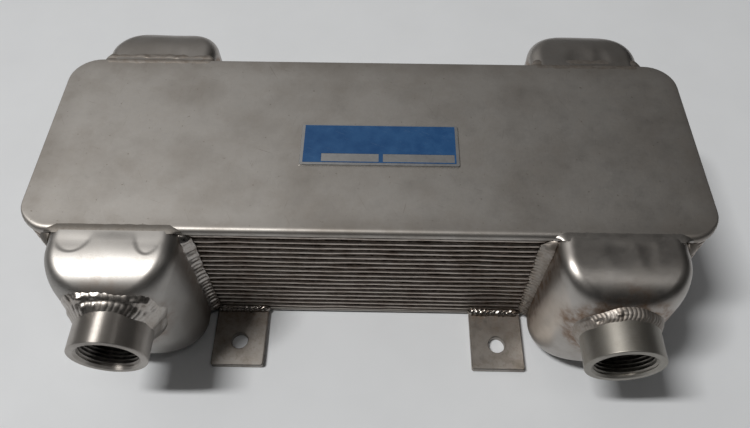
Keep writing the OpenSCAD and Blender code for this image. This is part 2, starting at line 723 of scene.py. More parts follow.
DULL_WELD_STEEL = MetalFinish(
    "dull_weld_steel",
    tone=(0.39, 0.36, 0.33),
    stain=(0.21, 0.16, 0.12),
    stain_share=0.5,
    patch=6 * MM,
    rough_low=0.42,
    rough_high=0.58,
    relief=0.03 * MM,
    stroke_share=0.0,
    tints=(Tint("valley", (0.17, 0.12, 0.085), 0.4, 0.1),),
)
FLAT_WELD_STEEL = MetalFinish(
    "flat_weld_steel",
    tone=(0.20, 0.185, 0.168),
    stain=(0.16, 0.13, 0.105),
    stain_share=0.35,
    patch=8 * MM,
    rough_low=0.50,
    rough_high=0.62,
    relief=0.02 * MM,
    stroke_share=0.0,
)
FOOT_STEEL = MetalFinish(
    "foot_steel",
    tone=(0.36, 0.335, 0.31),
    stain=(0.18, 0.15, 0.12),
    stain_share=0.65,
    patch=9 * MM,
    rough_low=0.42,
    rough_high=0.58,
    relief=0.02 * MM,
    stroke_share=0.12,
    tints=(HEAT,),
)
PLATE_SILVER = MetalFinish(
    "plate_silver",
    tone=(0.60, 0.60, 0.60),
    stain=(0.38, 0.37, 0.355),
    stain_share=0.25,
    patch=5 * MM,
    rough_low=0.30,
    rough_high=0.42,
    stroke_share=0.2,
)
PLATE_BLUE = PaintFinish("plate_blue", (0.010, 0.065, 0.19), (0.022, 0.10, 0.25))
PALE_FLOOR = FloorFinish("pale_floor", (0.84, 0.86, 0.885))


def place_piece(
    name: str, mesh: Mesh, finish: Finish, nodes: tuple[str, ...] = ()
) -> bpy.types.Object:
    """Put a finished mesh in the scene as a piece of the object.

    Args:
        name: Name of the piece.
        mesh: Its mesh, in the part's frame.
        finish: Its finish.
        nodes: Solids that it stands for.

    Returns:
        The new piece.
    """
    mesh.materials.append(finish.material())
    piece = bpy.data.objects.new(name, mesh)
    bpy.context.scene.collection.objects.link(piece)
    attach(piece, BODY)
    if nodes:
        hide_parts(*nodes)
    log.info("%s: %d faces in %s", name, len(mesh.polygons), finish.name)
    return piece


# Core


@dataclass
class CoverPlate:
    """Flat plate that closes the core above or below.

    Attributes:
        node: Name of the plate's solid.
        faces_up: True for the upper plate.
        corner_radius: Radius of its corners, seen from above.
        soft_edge: Radius of its outer edge at the back and the ends.
        front_edge: Radius of its outer edge at the front, where it was ground.
        front_turn: How far an edge faces the front where the ground edge starts, and where it is full.
        edge_steps: Number of points round the outer edge.
        burr_edge: Bevel of its inner edge.
        flat_ring: Width of the ring inside the inner edge.
        dirty_rings: Distances from the edge at which the dirt is set.
        step: Distance between points along the outline.
    """

    node: str
    faces_up: bool
    corner_radius: float = 14.5 * MM
    soft_edge: float = 0.6 * MM
    front_edge: float = 2.6 * MM
    front_turn: tuple[float, float] = (0.1, 0.9)
    edge_steps: int = 10
    burr_edge: float = 0.3 * MM
    flat_ring: float = 2.0 * MM
    dirty_rings: tuple[float, ...] = (3.2 * MM, 5.0 * MM, 8.0 * MM, 12.0 * MM)
    step: float = 2.5 * MM

    def build(self) -> Mesh:
        """Loft the plate from its sharp inner edge to its soft outer edge.

        Returns:
            Closed mesh of the plate, marked where dirt gathers along its rim.
        """
        low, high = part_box(self.node)
        size, middle = high - low, (low + high) / 2
        line, normals = rounded_outline(size.x, size.y, self.corner_radius, self.step)
        flat = np.zeros(len(line))
        at_front = smooth_step(-normals[:, 1], *self.front_turn)
        soft = self.soft_edge + (self.front_edge - self.soft_edge) * at_front
        profile = [(flat - inset, flat) for inset in (self.flat_ring, self.burr_edge)]
        profile.append((flat, flat + self.burr_edge))
        for turn in np.linspace(0, math.pi / 2, self.edge_steps):
            profile.append((soft * (math.cos(turn) - 1), size.z + soft * (math.sin(turn) - 1)))
        profile += [(flat - inset, flat + size.z) for inset in self.dirty_rings]
        rows = []
        for inset, rise in profile:
            ring = line + inset[:, None] * normals + np.array([middle.x, middle.y])
            rows.append(np.column_stack([ring, low.z + rise if self.faces_up else high.z - rise]))
        mesh = loft(self.node, np.array(rows), closed=False)
        dirt = [1 - smooth_step(-inset, self.front_edge, self.dirty_rings[-1]) for inset, _ in profile]
        mark(mesh, "rim", np.array(dirt))
        return mesh

    def dress(self, mesh: Mesh) -> bpy.types.Object:
        """Place the plate with its finish."""
        return place_piece(f"{self.node}_plate", mesh, COVER_STEEL, (self.node,))


@dataclass
class PlateCell:
    """One cell of the stack, with its welded seam standing out all round.

    Attributes:
        node: Name of the cell's solid.
        seam_radius: Radius of the seam's corners, seen from above.
        seam_height: Height of the seam.
        groove_depth: How deep the groove beside the seam runs in.
        nose_radius: How far the seam's round nose stands out.
        nose_steps: Number of points round the nose.
        sway: How far the seam drifts up and down.
        sway_waves: Number of its shortest drifts along the outline.
        swell: How far the seam dips in.
        swell_waves: Number of its shortest dips along the outline.
        shade_from: Share of the nose at which the groove's painted shade starts.
        shade_full: Share of the groove at which that painted shade is full.
        step: Distance between points along the outline.
    """

    node: str
    seam_radius: float = 14.0 * MM
    seam_height: float = 2.3 * MM
    groove_depth: float = 3.0 * MM
    nose_radius: float = 1.1 * MM
    nose_steps: int = 9
    sway: float = 0.16 * MM
    sway_waves: int = 24
    swell: float = 0.14 * MM
    swell_waves: int = 40
    shade_from: float = 0.15
    shade_full: float = 0.5
    step: float = 2.0 * MM

    def build(self) -> Mesh:
        """Sweep the seam's round nose along the core's outline, with a small sway.

        Returns:
            Closed mesh marked where the groove runs in, for the painted shade there.
        """
        low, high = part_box(self.node)
        rng = seeded(self.node)
        line, normals = rounded_outline(high.x - low.x, high.y - low.y, self.seam_radius, self.step)
        share = np.linspace(0, 1, len(line), endpoint=False)
        lift = self.sway * wander(rng, share, self.sway_waves)
        reach = self.swell * np.minimum(wander(rng, share, self.swell_waves), 0)
        middle, half = (low.z + high.z) / 2, (high.z - low.z) / 2
        turn = np.linspace(-math.pi / 2, math.pi / 2, self.nose_steps)
        nose = [(self.nose_radius * (math.cos(a) - 1), self.seam_height / 2 * math.sin(a)) for a in turn]
        profile = [(-self.groove_depth, -half), *nose, (-self.groove_depth, half)]
        # Painted shade: the groove between the seams is darkened as if in shadow, from the nose inwards
        shade_zone = (self.shade_from * self.nose_radius, self.shade_full * self.groove_depth)
        rows, dark = [], []
        for inset, rise in profile:
            moves = abs(rise) < half
            ring = line + (inset + (reach if moves else 0 * reach))[:, None] * normals
            level = middle + rise + (lift if moves else 0 * lift)
            rows.append(np.column_stack([ring, level]))
            dark.append(np.full(len(ring), smooth_step(np.array(-inset), *shade_zone)))
        mesh = loft(self.node, np.array(rows), closed=False, sharp=60.0)
        mark(mesh, "groove", np.array(dark))
        return mesh

    def dress(self, mesh: Mesh) -> bpy.types.Object:
        """Place the cell with its finish."""
        return place_piece(f"plate_{self.node}", mesh, STACK_STEEL, (self.node,))


# Welds


@dataclass(frozen=True)
class WeldLook:
    """How a run of weld was laid.

    Attributes:
        finish: Finish of the weld metal.
        legs: Distances from the bead's root to its two toes.
        bulge: Height of its crown above the straight line between the toes.
        ripple: Length of one ripple.
        relief: Depth of the valleys between ripples, as a share of the bulge.
        bow: How far a ripple bows at the crown, in ripples.
        slant: How far a ripple leans from toe to toe, in ripples.
        unevenness: How much the ripples differ in height.
        ragged: How far the toes wander with the ripples, as a share of the legs.
        passes: Number of beads laid side by side.
        fade: How much lower the bead gets towards its second toe.
        hollow: How far the face sinks in, in bulges.
        lumps: Number of lumps and pits scattered over it.
        flare: How much wider a bead round a pipe gets at the pipe's sides.
        squareness: Form of that bead's toe: 2 is round, more is square.
        taper: Share of its size that an upright bead loses on its way down.
        calm: How much of the crown is lost where the ripples are least lively.
        drop: Distance of an upright bead's upper end below the header's top.
        blunt: Length of that end: less is more sudden.
    """

    finish: MetalFinish
    legs: tuple[float, float]
    bulge: float
    ripple: float
    relief: float = 0.35
    bow: float = 0.6
    slant: float = 0.0
    unevenness: float = 0.12
    ragged: float = 0.06
    passes: int = 1
    fade: float = 0.0
    hollow: float = 0.0
    lumps: int = 0
    flare: float = 0.0
    squareness: float = 2.0
    taper: float = 0.0
    calm: float = 0.0
    drop: float = 2.6 * MM
    blunt: float = 0.7


@dataclass(frozen=True)
class WeldPath:
    """Corner that a bead fills.

    Attributes:
        root: Points along the bottom of the corner.
        toes: Points along the bead's two edges.
        crown: Directions that its face looks in.
        vigour: How lively its ripples are.
        closed: True where the bead runs back to its start.
        blunt: Length of its first end: less is more sudden.
    """

    root: Points
    toes: tuple[Points, Points]
    crown: Points
    vigour: Points
    closed: bool = False
    blunt: float = 1.0


@dataclass
class WeldBead:
    """Run of weld metal between two toe lines, with the ripples that its pool left.

    Attributes:
        name: Name of the piece.
        path: Corner that it fills.
        slot: Material slot of the record; not used.
        look: How it was laid.
        sunk: How deep its underside lies below the corner's root.
        under_share: Width of the underside as a share of the face.
        thin_end: Square of the share of its size that is left at its ends.
        scallop: Form of a ripple: less is fuller.
        mean_scale: Height of a ripple at which its toes stay in place.
        hump_power: Form of each pass: less is fuller.
        valley_power: How tightly the dark tone keeps to the valleys.
        drift_share: Slow drift in size, as a share of the unevenness.
        drift_waves: Number of the shortest drifts along the bead.
        lump_size: Least and greatest size of a lump along the bead.
        lump_zone: Where lumps may lie from toe to toe.
        lump_width: Size of a lump from toe to toe, as a share of the face.
        lump_height: Mean and spread of the lumps' heights, in bulges.
        steps_per_ripple: Number of rows for each ripple.
        columns: Number of points from toe to toe.
    """

    name: str
    path: WeldPath
    slot: str
    look: WeldLook
    sunk: float = 1.2 * MM
    under_share: float = 0.9
    thin_end: float = 0.02
    scallop: float = 0.6
    mean_scale: float = 0.6
    hump_power: float = 1.1
    valley_power: float = 1.5
    drift_share: float = 0.7
    drift_waves: int = 12
    lump_size: tuple[float, float] = (0.9 * MM, 2.0 * MM)
    lump_zone: tuple[float, float] = (0.15, 0.85)
    lump_width: float = 0.13
    lump_height: tuple[float, float] = (0.2, 0.75)
    steps_per_ripple: int = 8
    columns: int = 17

    def build(self) -> Mesh:
        """Sweep a low arch from toe to toe, with one scale per ripple.

        Returns:
            Closed mesh marked where the ripples meet.
        """
        look, path, rng = self.look, self.path, seeded(self.name)
        lines = np.stack([path.root, *path.toes, path.crown, np.repeat(path.vigour[:, None], 3, axis=1)])
        step = look.ripple / self.steps_per_ripple
        (root, first, second, crown, lively), along = resample(lines, step, path.closed)
        crown, lively = unit(crown), lively[:, :1]
        length = along[-1] + (along[1] if path.closed else 0)
        count = max(2, round(length / look.ripple))
        share = along / length
        across = np.linspace(0, 1, self.columns)
        arch = 4 * across * (1 - across)
        phase = (share * count)[:, None] + look.bow * arch + look.slant * across
        scale = np.abs(np.sin(math.pi * phase)) ** self.scallop
        number = np.floor(phase).astype(int) % count
        taller = look.unevenness * rng.normal(size=count)
        drift = self.drift_share * look.unevenness * wander(rng, share, self.drift_waves)[:, None]
        ends = np.ones((len(root), 1))
        if not path.closed:
            from_end = np.minimum(along / path.blunt, length - along)
            ends[:, 0] = np.sqrt(np.clip(from_end / max(look.legs), self.thin_end, 1))
        spread = ends * (1 + drift + look.ragged * lively * (scale - self.mean_scale))
        tall = look.bulge * ends * (1 + lively * (taller[number] - look.relief * (1 - scale)) + drift)
        tall = tall * (1 - look.calm * (1 - np.minimum(lively, 1)))
        humps = np.abs(np.sin(look.passes * math.pi * across)) ** self.hump_power
        section = humps * (1 - look.fade * across) - look.hollow * arch
        lumps = look.bulge * lively * self._lumps(share, across, length, rng)
        chord = first[:, None] * (1 - across)[:, None] + second[:, None] * across[:, None]
        rows = root[:, None] + spread[..., None] * (chord - root[:, None])
        rows = rows + (tall * section + lumps)[..., None] * crown[:, None]
        below = root - self.sunk * crown
        under = [below + self.under_share * ends * (line - root) for line in (second, root, first)]
        rows = np.concatenate([rows, np.stack(under, axis=1)], axis=1)
        mesh = loft(self.name, rows, path.closed, sharp=75.0)
        valley = lively * (1 - scale) ** self.valley_power
        mark(mesh, "valley", np.pad(valley, ((0, 0), (0, len(under)))))
        return mesh

    def _lumps(self, share: Points, across: Points, length: float, rng: np.random.Generator) -> Points:
        """Scatter soft lumps and pits over a bead.

        Args:
            share: Places along the bead, from 0 to 1.
            across: Places from toe to toe, from 0 to 1.
            length: Length of the bead.
            rng: Source of the random draws.

        Returns:
            Heights of shape (places along, places across), in shares of the bead's own height.
        """
        total = np.zeros((len(share), len(across)))
        arch = 4 * across * (1 - across)
        for _ in range(self.look.lumps):
            place, width = rng.random(), rng.uniform(*self.lump_size) / length
            along = np.exp(-((((share - place + 0.5) % 1 - 0.5) / width) ** 2))
            over = np.exp(-(((across - rng.uniform(*self.lump_zone)) / self.lump_width) ** 2)) * arch
            total += rng.normal(*self.lump_height) * along[:, None] * over
        return total

    def dress(self, mesh: Mesh) -> bpy.types.Object:
        """Place the bead with its finish."""
        return place_piece(self.name, mesh, self.look.finish)


# Headers


@dataclass(frozen=True)
class Dent:
    """Scoop pressed into a header's top beside the cover plate.

    Attributes:
        across: Place of its middle, from the header's middle.
        half_width: Half its width along the core.
        length: How far it runs out from the core.
        depth: How deep it is.
        soft: Share of its size over which its edge eases off.
        lead: Distance from the core over which it gets deep.
    """

    across: float
    half_width: float
    length: float
    depth: float
    soft: float
    lead: float = 0.1 * MM


@dataclass(frozen=True)
class HeaderLook:
    """What tells one header from the others.

    Attributes:
        finish: Finish of its sheet.
        pipe: Finish of its coupling.
        dents: Scoops in its top.
        heat: Strength of the heat tint.
        welds: How each of its beads was laid.
        bend_radius: Size of its top and bottom front bends, seen from the side.
    """

    finish: MetalFinish
    pipe: MetalFinish
    dents: tuple[Dent, ...]
    heat: float
    welds: dict[Seam, WeldLook]
    bend_radius: float = 28.2 * MM


OUTER_FILLET = WeldLook(DULL_WELD_STEEL, (4.4 * MM, 5.0 * MM), 0.35 * MM, 2.6 * MM, 0.4, ragged=0.15)
POLISHED_LOOK = HeaderLook(
    finish=POLISHED_STEEL,
    pipe=TURNED_STEEL,
    dents=(
        Dent(-16.0 * MM, 9.0 * MM, 11.0 * MM, 0.25 * MM, 0.13, 7.0 * MM),
        Dent(16.6 * MM, 6.6 * MM, 11.8 * MM, 0.25 * MM, 0.13, 7.0 * MM),
    ),
    heat=0.45,
    welds={
        Seam.TOP: WeldLook(FLAT_WELD_STEEL, (3.2 * MM, 1.2 * MM), 0.18 * MM, 7.0 * MM, 0.04, unevenness=0.03),
        Seam.INNER: WeldLook(WELD_STEEL, (3.2 * MM, 4.4 * MM), 0.8 * MM, 3.2 * MM, 0.5, unevenness=0.08),
        Seam.OUTER: replace(OUTER_FILLET, finish=FLAT_WELD_STEEL, lumps=25),
        Seam.SADDLE: WeldLook(
            FUNNEL_WELD_STEEL,
            (4.5 * MM, 4.0 * MM),
            0.6 * MM,
            2.3 * MM,
            relief=0.06,
            bow=0.4,
            unevenness=0.12,
            passes=2,
            fade=0.75,
            hollow=0.15,
            lumps=90,
            flare=0.3,
            squareness=3.2,
            calm=1.0,
        ),
    },
)
SATIN_LOOK = HeaderLook(
    finish=SATIN_STEEL,
    pipe=DULL_TURNED_STEEL,
    dents=(
        Dent(-1.5 * MM, 9.5 * MM, 19 * MM, 0.35 * MM, 0.8, 5 * MM),
        Dent(8.5 * MM, 5.5 * MM, 17 * MM, 0.35 * MM, 0.8, 5 * MM),
    ),
    heat=1.0,
    welds={
        Seam.TOP: WeldLook(SATIN_STEEL, (2.6 * MM, 1.6 * MM), 0.12 * MM, 6.0 * MM, 0.1, unevenness=0.03),
        Seam.INNER: WeldLook(
            DULL_WELD_STEEL,
            (3.6 * MM, 5.8 * MM),
            0.7 * MM,
            2.6 * MM,
            relief=0.07,
            unevenness=0.08,
            ragged=0.25,
            lumps=30,
            taper=0.35,
        ),
        Seam.OUTER: OUTER_FILLET,
        Seam.SADDLE: WeldLook(DULL_WELD_STEEL, (2.4 * MM, 4.0 * MM), 0.4 * MM, 1.7 * MM, 0.3, lumps=30),
    },
)
BACK_LOOK = replace(
    SATIN_LOOK,
    welds=SATIN_LOOK.welds
    | {
        Seam.TOP: WeldLook(
            DULL_WELD_STEEL, (2.4 * MM, 4.2 * MM), 0.22 * MM, 5.0 * MM, relief=0.05, passes=2, lumps=8
        ),
        Seam.OUTER: WeldLook(
            DULL_WELD_STEEL,
            (5.0 * MM, 8.0 * MM),
            0.6 * MM,
            2.6 * MM,
            relief=0.15,
            hollow=3.0,
            drop=1.0 * MM,
            blunt=0.3,
        ),
    },
)
SMOOTH_BACK_LOOK = replace(
    BACK_LOOK,
    welds=BACK_LOOK.welds | {Seam.TOP: replace(BACK_LOOK.welds[Seam.TOP], bulge=0.10 * MM, lumps=0)},
    bend_radius=24.0 * MM,
)
LOOKS = {
    Corner.FRONT_LEFT: POLISHED_LOOK,
    Corner.FRONT_RIGHT: SATIN_LOOK,
    Corner.BACK_LEFT: BACK_LOOK,
    Corner.BACK_RIGHT: SMOOTH_BACK_LOOK,
}
FOOT_WELD = WeldLook(
    FOOT_WELD_STEEL, (2.6 * MM, 2.4 * MM), 0.7 * MM, 2.8 * MM, 0.5, slant=0.8, unevenness=0.12
)


@dataclass
class Header:
    """Pressed sheet header, open towards the core, with its coupling's hole and welds.

    Attributes:
        corner: Corner of the core where it stands.
        look: What tells it from the others.
        corner_radius: Radius of its upright front corners, seen from above.
        crease_radius: Radius of the edges where its top and bottom meet its sides.
        bend_power: Roundness of its front bends: 2 makes arcs, more makes a gradual start.
        wall: Thickness of its sheet.
        hole_gap: Gap all round the coupling in its hole.
        pipe_heat: Distances from the coupling between which the heat tint ends.
        pipe_heat_from: Share of the depth beyond which that tint shows.
        core_heat: Distances from the core between which the heat tint ends.
        cool_top: Height below the top that stays free of that tint.
        buckle: Depth of the slow waves in the sheet.
        buckle_waves: Number of waves laid over each other.
        buckle_length: Least and greatest length of a wave.
        buckle_fade: Distance from the core, and from the floor, over which the waves come in.
        sag: How far the top sags between the core and its bend.
        sag_zone: Heights below the top between which the sag comes in.
        sag_middle: Where the sag is deepest, as a share of the depth.
        sag_end: Where it is gone, as a multiple of its middle.
        dent_zone: Heights below the top between which the dents come in.
        toe_drop: How deep a bead's toe lies in the sheet.
        top_bend: Radius of the top bead's two corners.
        top_reach: How far that bead runs down round its corners, in radii.
        corner_pinch: Share of its width that it loses round its corners.
        curl: How much of the header's rounding a side bead follows at its upper end.
        core_corner: Radius of the core's corners, seen from above.
        weld_foot: Height of a side bead's lower end.
        side_vigour: How lively a side bead is at its upper and at its lower end.
        pipe_vigour: How lively the bead round the coupling is below.
        lively_zone: Heights round the coupling, in radii, between which that bead gets lively.
        flare_zone: Heights round the coupling, in radii, between which that bead gets wide.
        side_points: Number of places along a side bead.
        pipe_points: Number of places round the coupling.
        rings: Number of rows from the hole to the rim, outside.
        inner_rings: Number of rows from the rim to the hole, inside.
        step: Distance between points along the rim.
        half_width: Half its width along the core.
        depth: How far it stands out from the core's face.
        height: Height of its top above the floor.
        plane: Distance of the core's face from the frame's middle.
        centre: Place of its middle along the core.
        axis_height: Height of the coupling's axis.
        pipe_radius: Outer radius of the coupling.
    """

    corner: Corner
    look: HeaderLook
    corner_radius: float = 26.0 * MM
    crease_radius: float = 7.0 * MM
    bend_power: float = 2.4
    wall: float = 2.5 * MM
    hole_gap: float = 0.15 * MM
    pipe_heat: tuple[float, float] = (4.5 * MM, 10.0 * MM)
    pipe_heat_from: float = 1 / 3
    core_heat: tuple[float, float] = (7.0 * MM, 13.0 * MM)
    cool_top: float = 4.0 * MM
    buckle: float = 0.10 * MM
    buckle_waves: int = 5
    buckle_length: tuple[float, float] = (18.0 * MM, 34.0 * MM)
    buckle_fade: float = 5.0 * MM
    sag: float = 0.45 * MM
    sag_zone: tuple[float, float] = (20.0 * MM, 8.0 * MM)
    sag_middle: float = 0.45
    sag_end: float = 1.7
    dent_zone: tuple[float, float] = (6.0 * MM, 1.0 * MM)
    toe_drop: float = 0.3 * MM
    top_bend: float = 3.5 * MM
    top_reach: float = 1.2
    corner_pinch: float = 0.75
    curl: float = 0.4
    core_corner: float = 14.5 * MM
    weld_foot: float = 2.0 * MM
    side_vigour: tuple[float, float] = (0.2, 1.3)
    pipe_vigour: float = 0.12
    lively_zone: tuple[float, float] = (0.1, 0.8)
    flare_zone: tuple[float, float] = (-0.5, 0.2)
    side_points: int = 60
    pipe_points: int = 240
    rings: int = 110
    inner_rings: int = 18
    step: float = 0.9 * MM
    half_width: float = field(init=False)
    depth: float = field(init=False)
    height: float = field(init=False)
    plane: float = field(init=False)
    centre: float = field(init=False)
    axis_height: float = field(init=False)
    pipe_radius: float = field(init=False)

    def __post_init__(self) -> None:
        """Take the sizes from the header's and the coupling's solids."""
        low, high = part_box(self.node)
        pipe_low, pipe_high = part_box(f"coupling_{self.corner.value}")
        self.half_width = (high.x - low.x) / 2
        self.depth = high.y - low.y
        self.height = high.z
        self.plane = min(abs(low.y), abs(high.y))
        self.centre = (low.x + high.x) / 2
        self.axis_height = (pipe_low.z + pipe_high.z) / 2
        self.pipe_radius = (pipe_high.z - pipe_low.z) / 2

    @property
    def node(self) -> str:
        """Give the name of the header's solid."""
        return f"header_{self.corner.value}"

    def to_frame(self, points: Points) -> Points:
        """Turn places across, out and up from the core's face into the part's frame."""
        across, out, up = np.moveaxis(points, -1, 0)
        return np.stack([self.centre + across, self.corner.face * (self.plane + out), up], axis=-1)

    def to_frame_way(self, ways: Points) -> Points:
        """Turn directions across, out and up into the part's frame."""
        return ways * np.array([1, self.corner.face, 1])

    def form(self, points: Points) -> Points:
        """Measure how far points lie outside the header's form.

        Args:
            points: Places across, out and up from the core's face.

        Returns:
            Distance, below zero inside.
        """
        across, out, up = np.moveaxis(points, -1, 0)
        plan = self._bulge(across, out, self.half_width, self.corner_radius, 2.0)
        above = up - self.height / 2
        profile = self._bulge(above, out, self.height / 2, self.look.bend_radius, self.bend_power)
        crease = self.crease_radius
        blend = np.hypot(np.maximum(plan + crease, 0), np.maximum(profile + crease, 0)) - crease
        return np.where(np.maximum(plan, profile) < -crease, np.maximum(plan, profile), blend)

    def _bulge(self, along: Points, out: Points, half: float, radius: float, power: float) -> Points:
        """Measure the distance to an outline that stands out from the core with two round corners.

        Args:
            along: Places along the core's face, from the outline's middle.
            out: Distances from the core's face.
            half: Half the outline's width.
            radius: Size of its corners.
            power: Roundness of its corners: 2 makes arcs, more makes bends with a gradual start.

        Returns:
            Distances, below zero inside.
        """
        side = np.abs(along) - (half - radius)
        front = out - (self.depth - radius)
        flat = np.minimum(np.maximum(side, front), 0)
        corner = np.maximum(side, 0) ** power + np.maximum(front, 0) ** power
        return flat + corner ** (1 / power) - radius

    def reach(self, origins: Points, ways: Points) -> Points:
        """Follow rays from inside the form to its surface.

        Args:
            origins: Where the rays start.
            ways: Unit directions of the rays.

        Returns:
            Points on the surface.
        """
        near = np.zeros(ways.shape[:-1])
        far = np.full(ways.shape[:-1], self.height + self.depth)
        for _ in range(HALF_STEPS):
            middle = (near + far) / 2
            inside = self.form(origins + middle[..., None] * ways) < 0
            near = np.where(inside, middle, near)
            far = np.where(inside, far, middle)
        return origins + near[..., None] * ways

    def facing(self, points: Points) -> Points:
        """Give the outward unit normals of the form.

        Args:
            points: Places on its surface, across, out and up from the core's face.

        Returns:
            Normals of the same shape.
        """
        nudge = 0.05 * MM
        slopes = [self.form(points + nudge * way) - self.form(points - nudge * way) for way in np.eye(3)]
        return unit(np.stack(slopes, axis=-1))

    def ring(self, radius: float | Points, angles: Points) -> Points:
        """Give the points of the surface at given distances from the coupling's axis.

        Args:
            radius: Distance from the axis, or one for each angle.
            angles: Angles round the axis.

        Returns:
            Points across, out and up.
        """
        up = self.axis_height + radius * np.sin(angles)
        origins = np.stack([radius * np.cos(angles), np.zeros_like(angles), up], axis=-1)
        return self.reach(origins, np.broadcast_to(np.array([0.0, 1.0, 0.0]), origins.shape))

    def build(self) -> Mesh:
        """Skin the form between the coupling's hole and the rim at the core, as sheet.

        Returns:
            Closed mesh of the sheet, marked where the welds tinted it.
        """
        middle = np.array([0, 0, self.height / 2])
        line, _ = rounded_outline(2 * self.half_width, self.height, self.crease_radius, self.step)
        rim = np.column_stack([line[:, 0], np.zeros(len(line)), line[:, 1] + self.height / 2])
        angles = np.arctan2(rim[:, 2] - self.axis_height, rim[:, 0])
        hole = self.ring(self.pipe_radius + self.hole_gap, angles)
        first, last = unit(hole - middle), unit(rim - middle)
        turn = np.arccos(np.clip((first * last).sum(-1), -1, 1))[None, :, None]
        share = np.linspace(0, 1, self.rings)[:, None, None]
        ways = (np.sin((1 - share) * turn) * first + np.sin(share * turn) * last) / np.sin(turn)
        outer = self.reach(np.broadcast_to(middle, ways.shape), ways)
        outer[-1] = rim
        normals = self.facing(outer)
        outer = outer - self._pressed(outer)[..., None] * normals
        picks = np.linspace(self.rings - 1, 0, self.inner_rings).round().astype(int)
        inner = outer[picks] - self.wall * normals[picks]
        inner[0, :, 1] = 0
        mesh = loft(self.node, self.to_frame(np.concatenate([outer, inner])), closed=True, sharp=50.0)
        mark(mesh, "scorch", np.concatenate([self._heat(outer), np.zeros(inner.shape[:2])]))
        return mesh

    def _pressed(self, points: Points) -> Points:
        """Measure how far the dents and the buckled sheet lie below the true form.

        Args:
            points: Places on the form, across, out and up from the core's face.

        Returns:
            Distances inwards.
        """
        across, out, up = np.moveaxis(points, -1, 0)
        below = self.height - up
        rng = seeded(self.node)
        total = np.zeros_like(across)
        for _ in range(self.buckle_waves):
            way = unit(rng.normal(size=3)) * 2 * math.pi / rng.uniform(*self.buckle_length)
            total += self.buckle / 2 * np.sin(points @ way + rng.uniform(0, 2 * math.pi))
        total *= smooth_step(out, 0, self.buckle_fade) * smooth_step(up, 0, self.buckle_fade)
        middle = self.sag_middle * self.depth
        slope = 1 - np.exp(-2 * out / middle)
        slope = slope - smooth_step(out, middle, self.sag_end * middle)
        total += self.sag * smooth_step(below, *self.sag_zone) * slope
        top = smooth_step(below, *self.dent_zone)
        for dent in self.look.dents:
            spot = np.hypot((across - dent.across) / dent.half_width, out / dent.length)
            scoop = 1 - smooth_step(spot, 1 - dent.soft, 1.0)
            total += dent.depth * top * scoop * smooth_step(out, 0, dent.lead)
        return total

    def _heat(self, points: Points) -> Points:
        """Say how strongly the welds tinted the sheet.

        Args:
            points: Places on the sheet, across, out and up from the core's face.

        Returns:
            Strengths from 0 to 1.
        """
        across, out, up = np.moveaxis(points, -1, 0)
        saddle = np.hypot(across, up - self.axis_height) - self.pipe_radius
        by_pipe = (1 - smooth_step(saddle, *self.pipe_heat)) * (out > self.pipe_heat_from * self.depth)
        by_core = (1 - smooth_step(out, *self.core_heat)) * (up < self.height - self.cool_top)
        return self.look.heat * np.maximum(by_pipe, by_core)

    def dress(self, mesh: Mesh) -> bpy.types.Object:
        """Place the header with its finish."""
        return place_piece(f"{self.node}_sheet", mesh, self.look.finish, (self.node,))

    def welds(self) -> list[WeldBead]:
        """Lay out the beads that join the header to the core and to its coupling.

        Returns:
            Beads over the top, down both sides and round the coupling.
        """
        beads = []
        for seam, look in self.look.welds.items():
            path = self._route(seam, look)
            toes = (self.to_frame(path.toes[0]), self.to_frame(path.toes[1]))
            crown = self.to_frame_way(path.crown)
            placed = WeldPath(self.to_frame(path.root), toes, crown, path.vigour, path.closed, path.blunt)
            beads.append(WeldBead(f"weld_{self.corner.value}_{seam.value}", placed, "header", look))
        return beads

    def _route(self, seam: Seam, look: WeldLook) -> WeldPath:
        """Find the corner that a bead fills.

        Args:
            seam: Place of the bead.
            look: How the bead was laid.

        Returns:
            Path of the bead, across, out and up from the core's face.
        """
        if seam is Seam.TOP:
            return self._over_the_top(look)
        if seam is Seam.SADDLE:
            return self._round_the_pipe(look)
        return self._down_a_side(self.corner.side * (1 if seam is Seam.OUTER else -1), look)

    def _over_the_top(self, look: WeldLook) -> WeldPath:
        """Follow the rim over the header's top and round its two upper corners.

        Args:
            look: How the bead was laid.

        Returns:
            Path of the bead, across, out and up from the core's face.
        """
        line, normals = rounded_outline(2 * self.half_width, self.height, self.top_bend, self.step)
        upper = line[:, 1] > self.height / 2 - self.top_reach * self.top_bend
        line, normals = line[upper], normals[upper]
        order = np.argsort(line[:, 0] + np.sign(line[:, 0]) * (self.height / 2 - line[:, 1]))
        line, normals = line[order], normals[order]
        side = normals[:, 0]
        root = np.column_stack([line[:, 0], np.zeros(len(line)), line[:, 1] + self.height / 2])
        first = root + look.legs[0] * np.column_stack([side, np.abs(side) - 1, 0 * side])
        out = look.legs[1] * (1 - self.corner_pinch * np.abs(side))
        second = root + np.column_stack([0 * out, out, 0 * out - self.toe_drop])
        crown = unit(np.column_stack([side, np.abs(side), normals[:, 1]]))
        return WeldPath(root, (first, second), crown, np.ones(len(root)))

